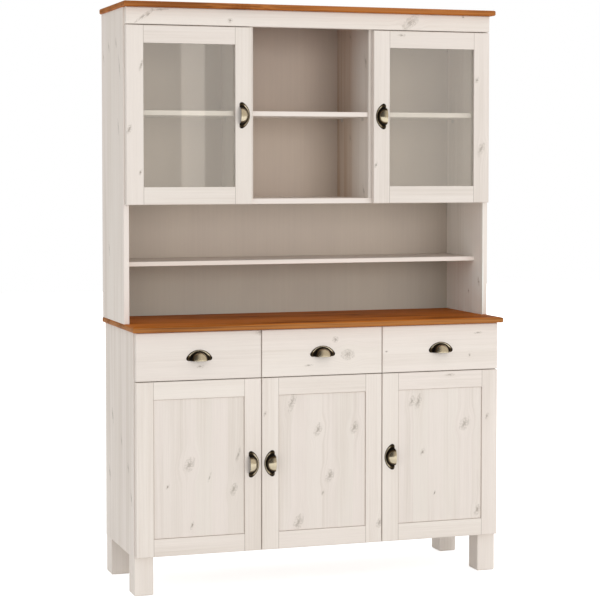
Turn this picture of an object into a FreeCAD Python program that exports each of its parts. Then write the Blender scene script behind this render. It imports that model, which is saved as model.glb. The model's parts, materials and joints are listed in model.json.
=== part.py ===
import FreeCAD, Part
import math
import os
import re

import Sketcher

# Dresser with hutch in pine: a base of three drawers over three framed doors, and a hutch of two
# glazed doors beside an open compartment and over an open niche.  Millimetres; +Z up, the fronts
# face -Y.  The origin is on the floor, at the middle of the outer box.
#
# Every driving size is a cell of the sheet.  A formula such as "base_width / 2 - board" uses the
# sheet's own names, and bind() hands it to FreeCAD as an expression.
SIZES = {
    # levels and the two stained boards
    "total_height": 1950,
    "worktop_height": 888,
    "worktop_thickness": 18,
    "worktop_end_overhang": 10,
    "worktop_front_overhang": 18.5,
    "hutch_top_thickness": 18,
    "hutch_top_end_overhang": 7,
    "hutch_top_front_overhang": 23.5,
    "stained_edge_round": 5,
    # base carcass
    "base_width": 1290,
    "base_depth": 420,
    "board": 18,
    "board_ease": 1,
    "back_thickness": 6,
    "rebate_width": 9,
    "top_rail_depth": 60,
    "divider_rail_depth": 50,
    "base_shelf_rise": 5,
    "base_shelf_setback": 30,
    "shelf_slack": 0.5,
    # legs
    "leg_height": 126,
    "leg_width": 64,
    "leg_depth": 76,
    "leg_inset": 1,
    "leg_round": 4,
    "leg_chamfer": 3,
    # fronts of the base
    "front_thickness": 22,
    "front_gap": 1.5,
    "front_inset": 3.5,
    "front_spacing": 3,
    "front_ease": 2,
    "door_lift": 5,
    "drawer_top_gap": 2.5,
    "drawer_front_height": 158,
    # framed doors
    "stile_width": 58,
    "rail_width": 58,
    "groove_width": 6,
    "groove_depth": 10,
    "groove_slack": 0.25,
    "panel_thickness": 16,
    "panel_recess": 3,
    "panel_reveal": 0.8,
    "panel_round": 2,
    # drawers
    "drawer_length": 370,
    "drawer_side": 14,
    "drawer_box_height": 110,
    "drawer_box_lift": 15,
    "drawer_bottom": 5,
    "drawer_bottom_lift": 8,
    "bottom_groove_depth": 6,
    "runner_height": 16,
    "runner_length": 370,
    "runner_setback": 12,
    "runner_lift": 47,
    "runner_gap": 3,
    "runner_bite": 5.5,
    "running_clearance": 0.3,
    # hutch
    "hutch_depth": 326,
    "hutch_step_in": 2,
    "niche_height": 395,
    "niche_shelf_lift": 187,
    "niche_shelf_thickness": 15,
    "niche_shelf_setback": 73,
    "compartment_width": 414,
    "partition_show": 11,
    "hutch_shelf_thickness": 16,
    "hutch_shelf_rise": 9,
    "hutch_shelf_setback": 6,
    "frieze_height": 55.5,
    "hutch_front_inset": 5,
    # glazed doors
    "glass_seat": 10,
    "glass_rebate": 8,
    "glass_thickness": 4,
    "glass_slack": 1,
    # concealed hinges
    "cup_diameter": 35,
    "cup_depth": 11.5,
    "cup_wall": 1,
    "cup_slack": 0.2,
    "cup_well": 27,
    "cup_edge_distance": 22.5,
    "cup_wing_thickness": 0.8,
    "cup_wing_width": 13,
    "cup_wing_height": 58,
    "hinge_end_distance": 95,
    "hinge_clearance": 0.3,
    "link_reach": 3,
    "arm_width": 12,
    "arm_height": 16,
    "arm_length": 62,
    "arm_ease": 4,
    "plate_thickness": 2.5,
    "plate_height": 46,
    "plate_length": 32,
    # shelf clips
    "clip_width": 16,
    "clip_leg": 12,
    "clip_thickness": 1.5,
    "clip_end_distance": 50,
    # cup pulls
    "pull_width": 88,
    "pull_height": 36,
    "pull_ear_round": 8,
    "pull_flange": 1.8,
    "pull_depth": 24,
    "pull_dome": 30.5,
    "pull_shoulder": 12,
    "pull_bevel": 5,
    "pull_wall": 1.6,
    "pull_rise": 2,
    "pull_edge_distance": 25.5,
}

doc = FreeCAD.newDocument("dresser_with_hutch")
sheet = doc.addObject("Spreadsheet::Sheet", "Size")
for row, (alias, value) in enumerate(SIZES.items(), start=1):
    sheet.set(f"A{row}", alias)
    sheet.set(f"B{row}", str(value))
    sheet.setAlias(f"B{row}", alias)
doc.recompute()

nodes = []

# ---------------------------------------------------------------- derived places, as formulas
REAR = "((base_depth + front_gap + front_thickness + pull_depth) / 2)"
INNER_REAR = f"({REAR} - back_thickness)"
BASE_FRONT = f"({REAR} - base_depth)"
FRONT_BACK = f"({BASE_FRONT} - front_gap)"
FRONT_FACE = f"({FRONT_BACK} - front_thickness)"
HUTCH_FRONT = f"({REAR} - hutch_depth)"
HUTCH_DOOR_BACK = f"({HUTCH_FRONT} - front_gap)"
HUTCH_DOOR_FACE = f"({HUTCH_DOOR_BACK} - front_thickness)"

CARCASS_TOP = "(worktop_height - worktop_thickness)"
PARTITION_TOP = f"({CARCASS_TOP} - board)"
FLOOR_TOP = "(leg_height + board)"
DOOR_BOTTOM = "(leg_height + door_lift)"
DRAWER_BOTTOM = f"({CARCASS_TOP} - drawer_top_gap - drawer_front_height)"
DOOR_TOP = f"({DRAWER_BOTTOM} - front_spacing)"
BASE_SHELF = f"(({DOOR_BOTTOM} + {DOOR_TOP} - board) / 2 + base_shelf_rise)"
DIVIDER_BOTTOM = f"({DRAWER_BOTTOM} - front_spacing / 2 - board / 2)"
BOX_BOTTOM = f"({DRAWER_BOTTOM} + drawer_box_lift)"
RUNNER_BOTTOM = f"({BOX_BOTTOM} + runner_lift)"
HUTCH_CEILING = "(total_height - hutch_top_thickness)"
NICHE_CEILING = "(worktop_height + niche_height)"
HUTCH_FLOOR_TOP = f"({NICHE_CEILING} + board)"
FRIEZE_BOTTOM = f"({HUTCH_CEILING} - frieze_height)"
GLASS_DOOR_TOP = f"({FRIEZE_BOTTOM} - front_spacing)"
HUTCH_SHELF = f"(({NICHE_CEILING} + {GLASS_DOOR_TOP} - hutch_shelf_thickness) / 2 + hutch_shelf_rise)"

BASE_HALF = "(base_width / 2)"
BASE_INNER = f"({BASE_HALF} - board)"
WORKTOP_HALF = f"({BASE_HALF} + worktop_end_overhang)"
HUTCH_HALF = f"({WORKTOP_HALF} - hutch_step_in)"
HUTCH_INNER = f"({HUTCH_HALF} - board)"
HUTCH_TOP_HALF = f"({HUTCH_HALF} + hutch_top_end_overhang)"
COMPARTMENT = "(compartment_width / 2)"
FRONT_WIDTH = "((base_width - 2 * front_inset - 2 * front_spacing) / 3)"
SPLIT = f"({FRONT_WIDTH} / 2 + front_spacing / 2)"
GLASS_DOOR_OUTER = f"({HUTCH_HALF} - hutch_front_inset)"
GLASS_DOOR_INNER = f"({COMPARTMENT} + partition_show)"
GLASS_DOOR_WIDTH = f"({GLASS_DOOR_OUTER} - {GLASS_DOOR_INNER})"

GROOVE_SETBACK = "((front_thickness - groove_width) / 2)"
HINGE_PLANE = "(link_reach + hinge_clearance)"

# bay: (inner face of its left upright, inner face of its right upright, left edge of its fronts)
BASE_BAYS = {
    "left": (f"(-{BASE_INNER})", f"(-{SPLIT} - board / 2)", f"(front_inset - {BASE_HALF})"),
    "middle": (f"(board / 2 - {SPLIT})", f"({SPLIT} - board / 2)", f"(-{FRONT_WIDTH} / 2)"),
    "right": (f"({SPLIT} + board / 2)", BASE_INNER, f"({BASE_HALF} - front_inset - {FRONT_WIDTH})"),
}
HUTCH_BAYS = {
    "left": (f"(-{HUTCH_INNER})", f"(-{COMPARTMENT} - board)"),
    "middle": (f"(-{COMPARTMENT})", COMPARTMENT),
    "right": (f"({COMPARTMENT} + board)", HUTCH_INNER),
}


# ---------------------------------------------------------------- document helpers
def bind(thing, prop, formula):
    """Bind a property to a formula that is written with the sheet's names."""
    expression = re.sub(r"[a-z][a-z_]*", lambda word: "Size." + word.group(), formula)
    thing.setExpression(prop, expression)


def place(thing, x, y, z):
    """Bind the three coordinates of an object's own Placement."""
    for axis, formula in zip("xyz", (x, y, z)):
        bind(thing, f"Placement.Base.{axis}", formula)


def turn(thing, axis, angle):
    """Turn an object about its own origin; its place is bound afterwards."""
    rotation = FreeCAD.Rotation(FreeCAD.Vector(*axis), angle)
    thing.Placement = FreeCAD.Placement(FreeCAD.Vector(), rotation)


def keep(thing):
    """Keep a finished object as one of the sub-parts to write."""
    nodes.append(thing)


def keep_group(name, solids):
    """Keep several separate solids as one sub-part."""
    compound = doc.addObject("Part::Compound", name)
    compound.Label = name
    compound.Links = solids
    keep(compound)


def new_body(name):
    body = doc.addObject("PartDesign::Body", name)
    body.Label = name
    return body


def sketch_on(body, role, x="0", y="0", off="0"):
    """A sketch on one of the body's origin planes, moved by x and y in the plane and by off from it."""
    sketch = body.newObject("Sketcher::SketchObject", "Profile")
    plane = [feature for feature in body.Origin.OriginFeatures if feature.Role == role][0]
    sketch.AttachmentSupport = (plane, [""])
    sketch.MapMode = "FlatFace"
    for axis, formula in zip("xyz", (x, y, off)):
        bind(sketch, f"AttachmentOffset.Base.{axis}", formula)
    return sketch


def constrain(sketch, kind, *where, name=None, formula=None):
    """Add one constraint; a named one is bound to a formula."""
    index = sketch.addConstraint(Sketcher.Constraint(kind, *where))
    if name:
        sketch.renameConstraint(index, name)
        bind(sketch, f"Constraints.{name}", formula)


def draw_rectangle(sketch, width, height):
    """A rectangle with one corner at the sketch's origin."""
    corners = [FreeCAD.Vector(*corner, 0) for corner in ((0, 0), (9, 0), (9, 9), (0, 9))]
    for line in range(4):
        sketch.addGeometry(Part.LineSegment(corners[line], corners[(line + 1) % 4]))
    for line in range(4):
        constrain(sketch, "Coincident", line, 2, (line + 1) % 4, 1)
        constrain(sketch, "Vertical" if line % 2 else "Horizontal", line)
    constrain(sketch, "Coincident", 0, 1, -1, 1)
    constrain(sketch, "DistanceX", 0, 1, 0, 2, 9, name="width", formula=width)
    constrain(sketch, "DistanceY", 1, 1, 1, 2, 9, name="height", formula=height)


def draw_circle(sketch, diameter):
    """A circle about the sketch's origin."""
    sketch.addGeometry(Part.Circle(FreeCAD.Vector(), FreeCAD.Vector(0, 0, 1), 3))
    constrain(sketch, "Coincident", 0, 3, -1, 1)
    constrain(sketch, "Diameter", 0, 6, name="across", formula=diameter)


def extrude(body, kind, sketch, length, reverse=False):
    """A Pad or a Pocket of a sketch."""
    feature = body.newObject(f"PartDesign::{kind}", kind)
    feature.Profile = sketch
    feature.Reversed = reverse
    bind(feature, "Length", length)


def block(body, kind, x, y, z, length, depth, height):
    """Add (Pad) or cut (Pocket) a box whose low corner is x, y, z in the body's own frame."""
    level = z if kind == "Pad" else f"{z} + {height}"
    sketch = sketch_on(body, "XY_Plane", x, y, level)
    draw_rectangle(sketch, length, depth)
    extrude(body, kind, sketch, height)


def drill(body, role, x, y, off, diameter, depth, reverse=False):
    """A round hole from a plane: x and y lie in it, off is its distance from the origin plane."""
    sketch = sketch_on(body, role, x, y, off)
    draw_circle(sketch, diameter)
    extrude(body, "Pocket", sketch, depth, reverse)


def soften(body, kind, size, wanted):
    """Fillet or chamfer the edges of the tip whose box passes the test wanted(box, whole)."""
    doc.recompute()
    base = body.Tip
    shape = base.Shape
    names = []
    for number, edge in enumerate(shape.Edges, start=1):
        if wanted(edge.BoundBox, shape.BoundBox):
            names.append(f"Edge{number}")
    feature = body.newObject(f"PartDesign::{kind}", kind)
    feature.Base = (base, names)
    bind(feature, "Radius" if kind == "Fillet" else "Size", size)


def near(first, second):
    return abs(first - second) < 1e-4


def on_front(box, whole):
    """The edges that lie in the front face."""
    return near(box.YMin, whole.YMin) and near(box.YMax, whole.YMin)


def upright(box, whole):
    """The edges that run the full height."""
    return near(box.ZLength, whole.ZLength)


def on_rear_corner(box, whole):
    """The edges that run the full height at the rear."""
    return upright(box, whole) and near(box.YMin, whole.YMax)


def on_foot(box, whole):
    """The edges around the bottom."""
    return near(box.ZMax, whole.ZMin)


def on_show(box, whole):
    """The long edges, above and below, of a stained board's front and two ends."""
    level = near(box.ZMax, whole.ZMin) or near(box.ZMin, whole.ZMax)
    return level and not near(box.YMin, whole.YMax)


def board(name, x, y, z, length, depth, height):
    """A plain board with its low corner at x, y, z."""
    body = new_body(name)
    place(body, x, y, z)
    block(body, "Pad", "0", "0", "0", length, depth, height)
    return body


# ---------------------------------------------------------------- uprights, shelves and clips
def build_side(name, hand, half, depth, bottom, top):
    """An outer side with a rebate for the back."""
    x = f"-{half}" if hand == "left" else f"{half} - board"
    rebate = "board - rebate_width" if hand == "left" else "0"
    side = board(f"{name}_{hand}", x, f"{REAR} - {depth}", bottom, "board", depth, f"({top} - {bottom})")
    block(side, "Pocket", rebate, f"{depth} - back_thickness", "0", "rebate_width", "back_thickness",
          f"({top} - {bottom})")
    soften(side, "Chamfer", "board_ease", on_front)
    keep(side)


def build_partition(name, x, depth, bottom, top):
    """An upright between two bays."""
    partition = board(name, x, f"{REAR} - {depth}", bottom, "board", f"{depth} - back_thickness",
                      f"({top} - {bottom})")
    soften(partition, "Chamfer", "board_ease", on_front)
    keep(partition)


def build_back(name, half, bottom, top):
    """A thin back that lies in the rebates of the two sides."""
    edge = f"({half} - board + rebate_width)"
    keep(board(name, f"-{edge}", INNER_REAR, bottom, f"2 * {edge}", "back_thickness", f"({top} - {bottom})"))


def build_stained_board(name, half, depth, bottom, thickness):
    """The worktop or the top of the hutch, rounded all along the edges that show."""
    stained = board(name, f"-{half}", f"{REAR} - {depth}", bottom, f"2 * {half}", depth, thickness)
    soften(stained, "Fillet", "stained_edge_round", on_show)
    keep(stained)


def build_shelf(name, left, right, front, level, thickness):
    """A loose shelf between two uprights."""
    shelf = board(name, f"{left} + shelf_slack", front, level, f"{right} - {left} - 2 * shelf_slack",
                  f"{INNER_REAR} - {front}", thickness)
    soften(shelf, "Chamfer", "board_ease", on_front)
    return shelf


def build_clips(name, left, right, depth, level):
    """Four angle clips, screwed to two uprights, that carry a shelf."""
    clips = []
    places = (("left", left, left), ("right", f"{right} - clip_thickness", f"{right} - clip_leg"))
    for hand, plate, ledge in places:
        for y in (f"{REAR} - {depth} + clip_end_distance", f"{REAR} - clip_end_distance - clip_width"):
            clip = new_body(f"clip_{name}_{hand}")
            place(clip, plate, y, f"{level} - clip_leg")
            block(clip, "Pad", "0", "0", "0", "clip_thickness", "clip_width", "clip_leg")
            block(clip, "Pad", f"{ledge} - ({plate})", "0", "clip_leg - clip_thickness", "clip_leg",
                  "clip_width", "clip_thickness")
            clips.append(clip)
    return clips


def build_shelves():
    base_shelves = []
    hutch_shelves = []
    clips = []
    for bay, (left, right, _) in BASE_BAYS.items():
        front = f"({BASE_FRONT} + base_shelf_setback)"
        base_shelves.append(build_shelf(f"base_shelf_{bay}", left, right, front, BASE_SHELF, "board"))
        clips += build_clips(f"base_{bay}", left, right, "base_depth", BASE_SHELF)
    for bay, (left, right) in HUTCH_BAYS.items():
        front = f"({HUTCH_FRONT} + hutch_shelf_setback)"
        hutch_shelves.append(build_shelf(f"hutch_shelf_{bay}", left, right, front, HUTCH_SHELF,
                                         "hutch_shelf_thickness"))
        clips += build_clips(f"hutch_{bay}", left, right, "hutch_depth", HUTCH_SHELF)
    keep_group("base_shelves", base_shelves)
    keep_group("hutch_shelves", hutch_shelves)
    keep_group("shelf_clips", clips)


# ---------------------------------------------------------------- base: legs and carcass
def leg_corners():
    """The name and the low corner of each leg, inset from the outside of the base."""
    for end, y in (("front", f"({BASE_FRONT} + leg_inset)"), ("rear", f"({REAR} - leg_inset - leg_depth)")):
        yield f"{end}_left", f"(leg_inset - {BASE_HALF})", y
        yield f"{end}_right", f"({BASE_HALF} - leg_inset - leg_width)", y


def build_legs():
    for corner, x, y in leg_corners():
        leg = board(f"leg_{corner}", x, y, "0", "leg_width", "leg_depth", "leg_height")
        soften(leg, "Fillet", "leg_round", upright)
        soften(leg, "Chamfer", "leg_chamfer", on_foot)
        keep(leg)


def build_base():
    for hand in ("left", "right"):
        build_side("base_side", hand, BASE_HALF, "base_depth", "leg_height", CARCASS_TOP)
    floor = board("base_floor", f"-{BASE_INNER}", BASE_FRONT, "leg_height", f"2 * {BASE_INNER}",
                  "base_depth - back_thickness", "board")
    soften(floor, "Chamfer", "board_ease", on_front)
    keep(floor)
    build_legs()
    for hand, x in (("left", f"-{SPLIT} - board / 2"), ("right", f"{SPLIT} - board / 2")):
        build_partition(f"base_partition_{hand}", x, "base_depth", FLOOR_TOP, PARTITION_TOP)

    rails = []
    for end, y in (("front", BASE_FRONT), ("rear", f"{INNER_REAR} - top_rail_depth")):
        rails.append(board(f"top_rail_{end}", f"-{BASE_INNER}", y, PARTITION_TOP, f"2 * {BASE_INNER}",
                           "top_rail_depth", "board"))
    for bay, (left, right, _) in BASE_BAYS.items():
        rails.append(board(f"divider_rail_{bay}", left, BASE_FRONT, DIVIDER_BOTTOM, f"{right} - {left}",
                           "divider_rail_depth", "board"))
    keep_group("base_rails", rails)
    build_back("base_back", BASE_HALF, "leg_height", CARCASS_TOP)
    build_stained_board("worktop", WORKTOP_HALF,
                        "(base_depth + front_gap + front_thickness + worktop_front_overhang)",
                        CARCASS_TOP, "worktop_thickness")


# ---------------------------------------------------------------- hutch carcass
def build_hutch():
    for hand in ("left", "right"):
        build_side("hutch_side", hand, HUTCH_HALF, "hutch_depth", "worktop_height", HUTCH_CEILING)
    floor = board("hutch_floor", f"-{HUTCH_INNER}", HUTCH_FRONT, NICHE_CEILING, f"2 * {HUTCH_INNER}",
                  "hutch_depth - back_thickness", "board")
    soften(floor, "Chamfer", "board_ease", on_front)
    keep(floor)
    for hand, x in (("left", f"-{COMPARTMENT} - board"), ("right", COMPARTMENT)):
        build_partition(f"hutch_partition_{hand}", x, "hutch_depth", HUTCH_FLOOR_TOP, HUTCH_CEILING)

    shelf = board("niche_shelf", f"-{HUTCH_INNER}", f"{HUTCH_FRONT} + niche_shelf_setback",
                  "worktop_height + niche_shelf_lift", f"2 * {HUTCH_INNER}",
                  "hutch_depth - back_thickness - niche_shelf_setback", "niche_shelf_thickness")
    soften(shelf, "Chamfer", "board_ease", on_front)
    keep(shelf)
    build_back("hutch_back", HUTCH_HALF, "worktop_height", HUTCH_CEILING)

    # The frieze is as thick as a door and its gap, so that their faces are level.
    frieze = board("frieze", f"-{GLASS_DOOR_OUTER}", HUTCH_DOOR_FACE, FRIEZE_BOTTOM,
                   f"2 * {GLASS_DOOR_OUTER}", "front_thickness + front_gap", "frieze_height")
    soften(frieze, "Chamfer", "front_ease", on_front)
    keep(frieze)
    build_stained_board("hutch_top", HUTCH_TOP_HALF,
                        "(hutch_depth + front_gap + front_thickness + hutch_top_front_overhang)",
                        HUTCH_CEILING, "hutch_top_thickness")


# ---------------------------------------------------------------- cup pull
def tangent_arc_radius(side, rise, corner):
    """Radius of an arc centred on an axis that runs smoothly into a corner arc beside the axis."""
    return (side ** 2 + rise ** 2 - corner ** 2) / (2 * (rise - corner))


def draw_pull_flange(sketch):
    """A straight foot, two ear rounds and one wide arc over the top."""
    ear = SIZES["pull_ear_round"]
    reach = SIZES["pull_width"] / 2 - ear
    crown = tangent_arc_radius(reach, SIZES["pull_height"] - ear, ear)
    crown_height = SIZES["pull_height"] - crown
    meeting = math.atan2(ear - crown_height, reach)

    def arc(x, y, radius, start, end):
        circle = Part.Circle(FreeCAD.Vector(x, y, 0), FreeCAD.Vector(0, 0, 1), radius)
        sketch.addGeometry(Part.ArcOfCircle(circle, start, end))

    sketch.addGeometry(Part.LineSegment(FreeCAD.Vector(-reach, 0, 0), FreeCAD.Vector(reach, 0, 0)))
    arc(reach, ear, ear, -math.pi / 2, meeting)
    arc(0, crown_height, crown, meeting, math.pi - meeting)
    arc(-reach, ear, ear, math.pi - meeting, 1.5 * math.pi)
    for first in range(3):
        constrain(sketch, "Tangent", first, 2, first + 1, 1)
    constrain(sketch, "Tangent", 3, 2, 0, 1)
    constrain(sketch, "Symmetric", 0, 1, 0, 2, -1, 1)
    constrain(sketch, "Horizontal", 0)
    constrain(sketch, "Equal", 1, 3)
    constrain(sketch, "Radius", 1, ear, name="ear", formula="pull_ear_round")
    constrain(sketch, "DistanceX", 0, 1, 0, 2, 2 * reach, name="span",
              formula="pull_width - 2 * pull_ear_round")
    constrain(sketch, "DistanceY", -1, 1, 2, 3, crown_height, name="crown_height",
              formula="pull_height - ((pull_width / 2 - pull_ear_round) ^ 2"
              " + (pull_height - pull_ear_round) ^ 2 - pull_ear_round ^ 2)"
              " / (2 * (pull_height - 2 * pull_ear_round))")


def draw_half_round(sketch, radius, sides):
    """Half a regular outline of many sides on its straight foot."""
    points = []
    for corner in range(sides + 1):
        angle = math.pi * corner / sides
        points.append(FreeCAD.Vector(9 * math.cos(angle), 9 * math.sin(angle), 0))
    for line in range(sides):
        sketch.addGeometry(Part.LineSegment(points[line], points[line + 1]))
    sketch.addGeometry(Part.LineSegment(points[-1], points[0]))
    circle = sketch.addGeometry(Part.Circle(FreeCAD.Vector(), FreeCAD.Vector(0, 0, 1), 9), True)
    for line in range(sides):
        constrain(sketch, "Coincident", line, 2, line + 1, 1)
        constrain(sketch, "PointOnObject", line, 1, circle)
    constrain(sketch, "Coincident", sides, 2, 0, 1)
    constrain(sketch, "PointOnObject", 0, 1, -1)
    constrain(sketch, "PointOnObject", sides, 1, -1)
    constrain(sketch, "PointOnObject", sides, 1, circle)
    for line in range(1, sides):
        constrain(sketch, "Equal", 0, line)
    constrain(sketch, "Coincident", circle, 3, -1, 1)
    constrain(sketch, "Radius", circle, 9, name="radius", formula=radius)


def crown_edges(box, whole):
    """The level edges around the top of a half dome."""
    return near(box.YMin, whole.YMin) and near(box.YMax, whole.YMin) and not near(box.ZMax, whole.ZMin)


def shoulder_edges(box, whole):
    """The two rings of level edges around the shoulder of a half dome."""
    return near(box.YMin, box.YMax) and not near(box.YMax, whole.YMax) and not near(box.ZMax, whole.ZMin)


def build_half_dome(name, less):
    """A half dome with a straight neck and a shoulder in three bands; less is taken off it all round."""
    dome = new_body(name)
    outline = sketch_on(dome, "XZ_Plane", y="-pull_height / 2")
    draw_half_round(outline, f"pull_dome{less}", 14)
    extrude(dome, "Pad", outline, f"pull_depth{less}")
    soften(dome, "Chamfer", "pull_shoulder", crown_edges)
    soften(dome, "Chamfer", "pull_bevel", shoulder_edges)
    return dome


def build_cup_pull():
    """A half-moon cup pull: an eared flange and a hollow half dome, open along its straight foot."""
    flange = new_body("pull_flange")
    outline = sketch_on(flange, "XZ_Plane", y="-pull_height / 2")
    draw_pull_flange(outline)
    extrude(flange, "Pad", outline, "pull_flange")
    solid = doc.addObject("Part::Fuse", "pull_solid")
    solid.Base = flange
    solid.Tool = build_half_dome("pull_dome", "")
    hollow = doc.addObject("Part::Cut", "cup_pull")
    hollow.Base = solid
    hollow.Tool = build_half_dome("pull_hollow", " - pull_wall")
    return hollow


def hang_pull(name, x, face, z, quarter_turns=0):
    """One of the eight like pulls, turned about the middle of its flange."""
    pull = doc.addObject("Part::Compound", name)
    pull.Label = name
    pull.Links = [cup_pull]
    turn(pull, (0, 1, 0), 90 * quarter_turns)
    place(pull, x, face, z)
    keep(pull)


# ---------------------------------------------------------------- drawers
def build_drawer(bay, left, right, edge):
    """A drawer: its front, a grooved box on wooden runners, a thin bottom and a cup pull."""
    name = f"drawer_{bay}"
    box_left = f"({left} + runner_gap)"
    box_right = f"({right} - runner_gap)"
    inner_width = f"({box_right} - {box_left} - 2 * drawer_side)"
    bottom_left = f"({box_left} + drawer_side - bottom_groove_depth)"
    bottom_width = f"({inner_width} + 2 * bottom_groove_depth)"

    front = board(f"{name}_front", edge, FRONT_FACE, DRAWER_BOTTOM, FRONT_WIDTH, "front_thickness",
                  "drawer_front_height")
    block(front, "Pocket", f"{bottom_left} - {edge}", "front_thickness - bottom_groove_depth",
          "drawer_box_lift + drawer_bottom_lift", bottom_width, "bottom_groove_depth", "drawer_bottom")
    soften(front, "Chamfer", "front_ease", on_front)
    keep(front)

    runner_groove = "(runner_bite + running_clearance)"
    box = []
    for hand, x, outer, inner in (
        ("left", box_left, "0", "drawer_side - bottom_groove_depth"),
        ("right", f"{box_right} - drawer_side", f"drawer_side - {runner_groove}", "0"),
    ):
        side = board(f"{name}_side_{hand}", x, FRONT_BACK, BOX_BOTTOM, "drawer_side", "drawer_length",
                     "drawer_box_height")
        block(side, "Pocket", outer, "0", "runner_lift - running_clearance", runner_groove, "drawer_length",
              "(runner_height + 2 * running_clearance)")
        block(side, "Pocket", inner, "0", "drawer_bottom_lift", "bottom_groove_depth", "drawer_length",
              "drawer_bottom")
        box.append(side)
    under = "(drawer_bottom_lift + drawer_bottom)"
    box.append(board(f"{name}_back", f"{box_left} + drawer_side",
                     f"{FRONT_BACK} + drawer_length - drawer_side", f"{BOX_BOTTOM} + {under}",
                     inner_width, "drawer_side", f"drawer_box_height - {under}"))
    keep_group(f"{name}_box", box)
    keep(board(f"{name}_bottom", bottom_left, f"{FRONT_BACK} - bottom_groove_depth",
               f"{BOX_BOTTOM} + drawer_bottom_lift", bottom_width, "drawer_length + bottom_groove_depth",
               "drawer_bottom"))
    hang_pull(f"{name}_pull", f"{edge} + {FRONT_WIDTH} / 2", FRONT_FACE,
               f"{DRAWER_BOTTOM} + drawer_front_height / 2 + pull_rise")


def build_runners():
    """A wooden runner on each side of every drawer, screwed to the uprights."""
    runners = []
    thickness = "(runner_gap + runner_bite)"
    for bay, (left, right, _) in BASE_BAYS.items():
        for hand, x in (("left", left), ("right", f"{right} - {thickness}")):
            runner = board(f"runner_{bay}_{hand}", x, f"{BASE_FRONT} + runner_setback", RUNNER_BOTTOM,
                           thickness, "runner_length", "runner_height")
            soften(runner, "Chamfer", "board_ease", on_front)
            runners.append(runner)
    keep_group("drawer_runners", runners)


# ---------------------------------------------------------------- concealed hinges
def build_hinge_cup(name, x, back, z):
    """The door's half: a cup let into the stile, its two wings and the folded link."""
    cup = new_body(name)
    place(cup, x, back, z)
    outer = sketch_on(cup, "XZ_Plane")
    draw_circle(outer, "cup_diameter")
    extrude(cup, "Pad", outer, "cup_depth")
    block(cup, "Pad", "-cup_wing_width / 2", "0", "-cup_wing_height / 2", "cup_wing_width",
          "cup_wing_thickness", "cup_wing_height")
    well = "(arm_width + 2 * cup_slack)"
    block(cup, "Pocket", f"-{well} / 2", "cup_wall - cup_depth", "-cup_well / 2", well,
          "cup_depth + cup_wing_thickness - cup_wall", "cup_well")
    floor = "(cup_depth - cup_wall / 2)"
    block(cup, "Pad", "-arm_width / 2", f"-{floor}", "cup_wall - arm_height / 2", "arm_width",
          f"{floor} + link_reach", "arm_height - 2 * cup_wall")
    return cup


def build_hinge_arm(name, face, cup_x, back, z, inward):
    """The carcass half: a plate on the upright's face and an arm that ends just behind the link."""
    arm = new_body(name)
    place(arm, face, f"{back} + {HINGE_PLANE}", z)
    reach = f"({inward}1 * ({cup_x} - {face}) + arm_width / 2)"
    start, plate = ("0", "0") if inward == "" else (f"-{reach}", "-plate_thickness")
    block(arm, "Pad", start, "0", "-arm_height / 2", reach, "arm_length", "arm_height")
    soften(arm, "Chamfer", "arm_ease", on_rear_corner)
    block(arm, "Pad", plate, "(arm_length - plate_length) / 2", "-plate_height / 2", "plate_thickness",
          "plate_length", "plate_height")
    return arm


# ---------------------------------------------------------------- doors
def near_left(box, whole):
    """The front edges of a left stile, but the one beside the rails."""
    return on_front(box, whole) and not near(box.XMin, whole.XMax)


def near_right(box, whole):
    """The front edges of a right stile, but the one beside the rails."""
    return on_front(box, whole) and not near(box.XMax, whole.XMin)


def near_bottom(box, whole):
    """The lower front edge of a bottom rail."""
    return on_front(box, whole) and near(box.ZMax, whole.ZMin)


def near_top(box, whole):
    """The upper front edge of a top rail."""
    return on_front(box, whole) and near(box.ZMin, whole.ZMax)


def build_door_frame(name, x, face, z, width, height, recess, cup_x, cup_levels):
    """Two stiles and two rails.  recess is the groove or rebate along their inner edges, as its
    setback from the face, its thickness and its depth; tongues on the rails fill it at the corners.
    cup_x is the hinged hand and the middle of its cups."""
    setback, thickness, depth = recess
    frame = []
    for hand, offset, inner, outer_edges in (
        ("left", "0", f"stile_width - {depth}", near_left),
        ("right", f"{width} - stile_width", "0", near_right),
    ):
        stile = board(f"{name}_stile_{hand}", f"{x} + {offset}", face, z,
                      "stile_width", "front_thickness", height)
        block(stile, "Pocket", inner, setback, "0", depth, thickness, height)
        soften(stile, "Chamfer", "front_ease", outer_edges)
        if hand == cup_x[0]:
            for level in cup_levels:
                drill(stile, "XZ_Plane", f"{cup_x[1]} - ({x} + {offset})", f"{level} - {z}",
                      "-front_thickness", "cup_diameter + 2 * cup_slack", "cup_depth + cup_slack", True)
        frame.append(stile)

    span = f"({width} - 2 * stile_width)"
    for end, offset, inner, tongue, outer_edge in (
        ("bottom", "0", f"rail_width - {depth}", "0", near_bottom),
        ("top", f"{height} - rail_width", "0", depth, near_top),
    ):
        rail = board(f"{name}_rail_{end}", f"{x} + stile_width", face, f"{z} + {offset}", span,
                     "front_thickness", "rail_width")
        block(rail, "Pocket", "0", setback, inner, span, thickness, depth)
        soften(rail, "Chamfer", "front_ease", outer_edge)
        block(rail, "Pad", f"-{depth}", setback, tongue, f"{span} + 2 * {depth}", thickness,
              f"(rail_width - {depth})")
        frame.append(rail)
    return frame


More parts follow.
